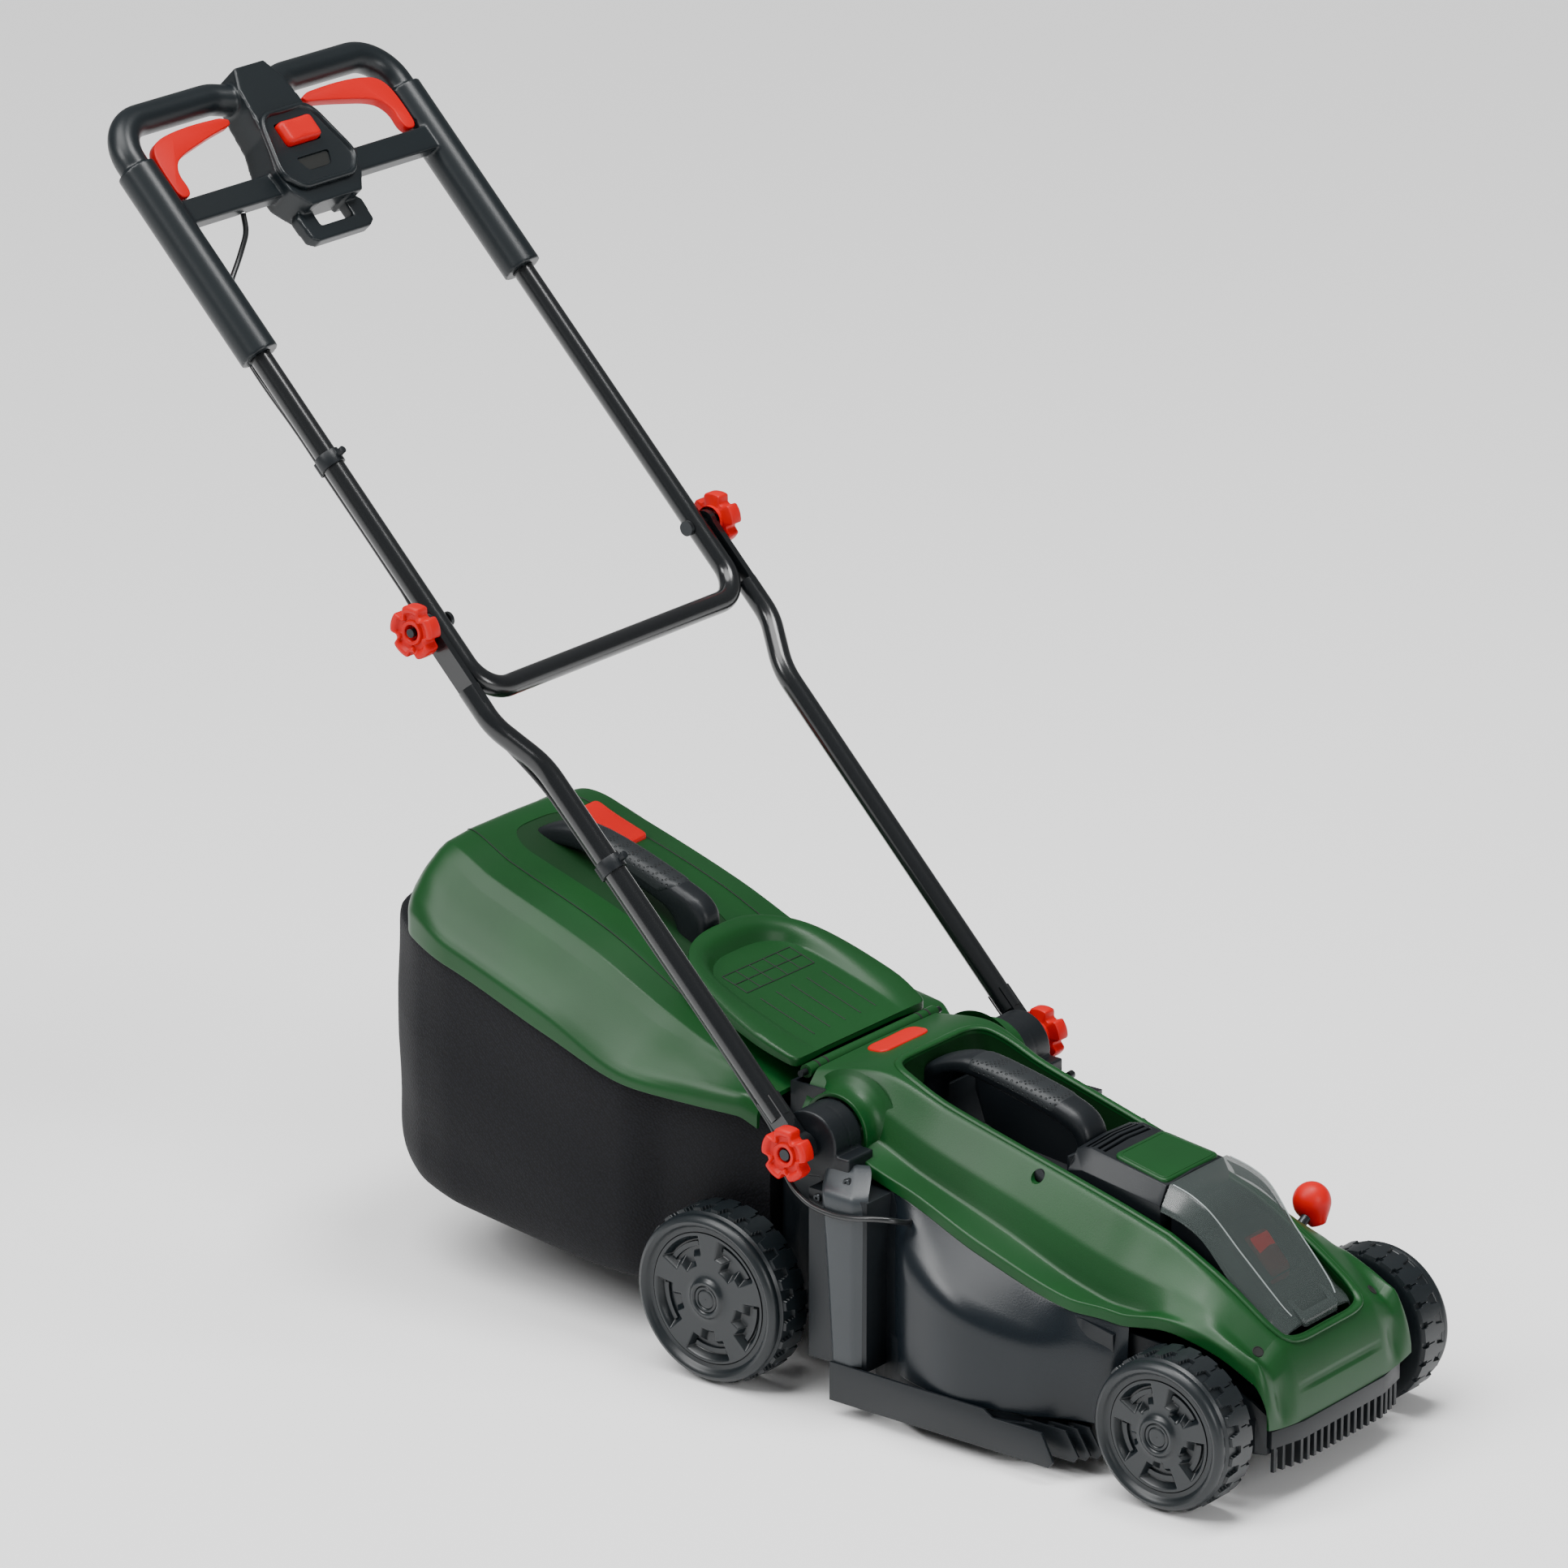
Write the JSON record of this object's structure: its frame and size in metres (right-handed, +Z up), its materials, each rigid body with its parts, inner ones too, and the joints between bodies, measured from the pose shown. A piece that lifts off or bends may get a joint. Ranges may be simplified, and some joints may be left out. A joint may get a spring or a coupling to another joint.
{
  "type": "push lawn mower",
  "caption": "Cordless push mower with folding tube handle, rear grass box, hinged battery lid, cutting-height lever and a single rotary blade under a moulded deck.",
  "frame": {"origin": "middle of the mower's footprint on the ground", "axes": "+X forward, +Y to the mower's left, +Z up"},
  "size_m": [1.2413, 0.439, 1.0407],
  "materials": {
    "green_plastic": "fine textured satin, deep green",
    "black_plastic": "fine textured matt black",
    "satin_black_plastic": "satin black",
    "console_plastic": "matt black moulded",
    "grip_rubber": "soft black grip",
    "battery_plastic": "matt black pack",
    "board_plastic": "coated circuit board",
    "red_plastic": "satin red",
    "smoky_clear": "smoky transparent",
    "motor_metal": "cast motor housing",
    "bright_steel": "zinc plated",
    "black_tube": "semi-gloss black powder coat",
    "cable_rubber": "black cable sheath",
    "bag_fabric": "black woven textile",
    "tyre_plastic": "lugged tread",
    "disc_plastic": "dark grey moulded disc"
  },
  "bodies": {
    "deck": {"deck_shell": "black_plastic", "upper_cover": "green_plastic", "carry_handle": "grip_rubber", "motor_cowl": "black_plastic", "badge_plate": "green_plastic", "battery_tray": "black_plastic", "battery_pack": "battery_plastic", "rear_insert": "red_plastic", "front_comb": "black_plastic", "grass_combs": "black_plastic", "side_struts": "satin_black_plastic", "pivot_drums": "satin_black_plastic", "motor_can": "motor_metal", "control_board": "board_plastic", "cover_screws": "bright_steel", "flap_hinge_pin": "bright_steel", "flap_spring": "bright_steel", "pivot_bolts": "bright_steel", "cable_loop_lower": "cable_rubber"},
    "rotor": {"motor_shaft": "bright_steel", "blade": "bright_steel", "blade_bolt": "bright_steel"},
    "rear_axle": {"rear_axle": "bright_steel"},
    "front_axle": {"front_axle": "bright_steel"},
    "link_rod": {"link_rod": "bright_steel"},
    "height_lever": {"height_lever": "bright_steel", "height_knob": "red_plastic"},
    "rear_left_wheel": {"rear_left_tyre": "tyre_plastic", "rear_left_disc": "disc_plastic"},
    "rear_right_wheel": {"rear_right_tyre": "tyre_plastic", "rear_right_disc": "disc_plastic"},
    "front_left_wheel": {"front_left_tyre": "tyre_plastic", "front_left_disc": "disc_plastic"},
    "front_right_wheel": {"front_right_tyre": "tyre_plastic", "front_right_disc": "disc_plastic"},
    "lower_handle": {"lower_tube_left": "black_tube", "lower_tube_right": "black_tube", "cable_lower": "cable_rubber", "cable_clip_lower": "satin_black_plastic", "cable_loop_upper": "cable_rubber"},
    "upper_handle": {"upper_tube": "black_tube", "handle_console": "console_plastic", "console_plate": "green_plastic", "handle_bolts": "bright_steel", "cable_upper": "cable_rubber", "cable_clip_upper": "satin_black_plastic"},
    "lock_button": {"lock_button": "red_plastic"},
    "bail_lever_left": {"bail_lever_left": "red_plastic"},
    "bail_lever_right": {"bail_lever_right": "red_plastic"},
    "upper_knob_left": {"upper_knob_left": "red_plastic"},
    "upper_knob_right": {"upper_knob_right": "red_plastic"},
    "lower_knob_left": {"lower_knob_left": "red_plastic"},
    "lower_knob_right": {"lower_knob_right": "red_plastic"},
    "rear_flap": {"rear_flap": "green_plastic"},
    "battery_lid": {"battery_lid": "smoky_clear"},
    "grass_box": {"grass_box_lid": "green_plastic", "grass_box_bag": "bag_fabric", "grass_box_frame": "black_plastic", "grass_box_handle": "grip_rubber"},
    "level_flap": {"level_flap": "red_plastic"}
  },
  "joints": [
    {"name": "blade_spin", "type": "hinge", "parent": "deck", "child": "rotor", "pos_m": [0.3345, 0, 0.06], "axis": [0, 0, 1], "continuous": true},
    {"name": "rear_axle_swing", "type": "hinge", "parent": "deck", "child": "rear_axle", "pos_m": [0.1218, 0, 0.06787], "axis": [0, -1, 0], "range_deg": [0, 32]},
    {"name": "front_axle_swing", "type": "hinge", "parent": "deck", "child": "front_axle", "pos_m": [0.5893, 0, 0.05737], "axis": [0, -1, 0], "range_deg": [0, 32]},
    {"name": "link_rod_swing", "type": "hinge", "parent": "rear_axle", "child": "link_rod", "pos_m": [0.12896, 0.0905, 0.09287], "axis": [0, -1, 0], "range_deg": [-32, 0]},
    {"name": "height_lever_swing", "type": "hinge", "parent": "deck", "child": "height_lever", "pos_m": [0.49753, 0.099, 0.04711], "axis": [0, -1, 0], "range_deg": [0, 21.74]},
    {"name": "rear_left_wheel_spin", "type": "hinge", "parent": "rear_axle", "child": "rear_left_wheel", "pos_m": [0.0795, 0, 0.08], "axis": [0, 1, 0], "continuous": true},
    {"name": "rear_right_wheel_spin", "type": "hinge", "parent": "rear_axle", "child": "rear_right_wheel", "pos_m": [0.0795, 0, 0.08], "axis": [0, 1, 0], "continuous": true},
    {"name": "front_left_wheel_spin", "type": "hinge", "parent": "front_axle", "child": "front_left_wheel", "pos_m": [0.547, 0, 0.0695], "axis": [0, 1, 0], "continuous": true},
    {"name": "front_right_wheel_spin", "type": "hinge", "parent": "front_axle", "child": "front_right_wheel", "pos_m": [0.547, 0, 0.0695], "axis": [0, 1, 0], "continuous": true},
    {"name": "lower_handle_fold", "type": "hinge", "parent": "deck", "child": "lower_handle", "pos_m": [0.1635, 0, 0.235], "axis": [0, 1, 0], "range_deg": [0, 110], "deforming": ["cable_loop_lower"]},
    {"name": "upper_handle_fold", "type": "hinge", "parent": "lower_handle", "child": "upper_handle", "pos_m": [-0.22733, 0, 0.6341], "axis": [0, 1, 0], "range_deg": [-100, 0], "deforming": ["cable_loop_upper"]},
    {"name": "lock_button_press", "type": "slide", "parent": "upper_handle", "child": "lock_button", "axis": [-0.7145, 0, -0.6997], "range_m": [0, 0.004], "stiffness_N_per_m": 400, "springref_m": -0.001},
    {"name": "bail_lever_left_squeeze", "type": "hinge", "parent": "upper_handle", "child": "bail_lever_left", "pos_m": [-0.54212, 0.155, 0.96127], "axis": [0, -1, 0], "range_deg": [0, 8], "stiffness_Nm_per_rad": 0.6, "springref_deg": -20.05},
    {"name": "upper_knob_left_spin", "type": "hinge", "parent": "upper_handle", "child": "upper_knob_left", "pos_m": [-0.22733, 0.205, 0.6341], "axis": [0, 1, 0], "continuous": true},
    {"name": "lower_knob_left_spin", "type": "hinge", "parent": "deck", "child": "lower_knob_left", "pos_m": [0.1635, 0.18, 0.235], "axis": [0, 1, 0], "continuous": true},
    {"name": "bail_lever_right_squeeze", "type": "hinge", "parent": "upper_handle", "child": "bail_lever_right", "pos_m": [-0.54212, -0.155, 0.96127], "axis": [0, -1, 0], "range_deg": [0, 8], "stiffness_Nm_per_rad": 0.6, "springref_deg": -20.05},
    {"name": "upper_knob_right_spin", "type": "hinge", "parent": "upper_handle", "child": "upper_knob_right", "pos_m": [-0.22733, -0.205, 0.6341], "axis": [0, 1, 0], "continuous": true},
    {"name": "lower_knob_right_spin", "type": "hinge", "parent": "deck", "child": "lower_knob_right", "pos_m": [0.1635, -0.18, 0.235], "axis": [0, 1, 0], "continuous": true},
    {"name": "rear_flap_open", "type": "hinge", "parent": "deck", "child": "rear_flap", "pos_m": [0.1115, 0, 0.27], "axis": [0, 1, 0], "range_deg": [0, 65], "stiffness_Nm_per_rad": 0.35, "springref_deg": -34.38, "deforming": ["flap_spring"]},
    {"name": "battery_lid_open", "type": "hinge", "parent": "deck", "child": "battery_lid", "pos_m": [0.468, 0, 0.233], "axis": [0, -1, 0], "range_deg": [0, 90]},
    {"name": "grass_box_remove", "type": "slide", "parent": "deck", "child": "grass_box", "axis": [-1, 0, 0], "range_m": [0, 0.5]},
    {"name": "level_flap_lift", "type": "hinge", "parent": "grass_box", "child": "level_flap", "pos_m": [-0.1965, 0.046, 0.37055], "axis": [0, 1, 0], "range_deg": [0, 20]}
  ],
  "couplings": [
    {"joint": "front_axle_swing", "follows": "rear_axle_swing", "ratio": 1},
    {"joint": "link_rod_swing", "follows": "rear_axle_swing", "ratio": -1},
    {"joint": "height_lever_swing", "follows": "rear_axle_swing", "ratio": 0.67942}
  ]
}
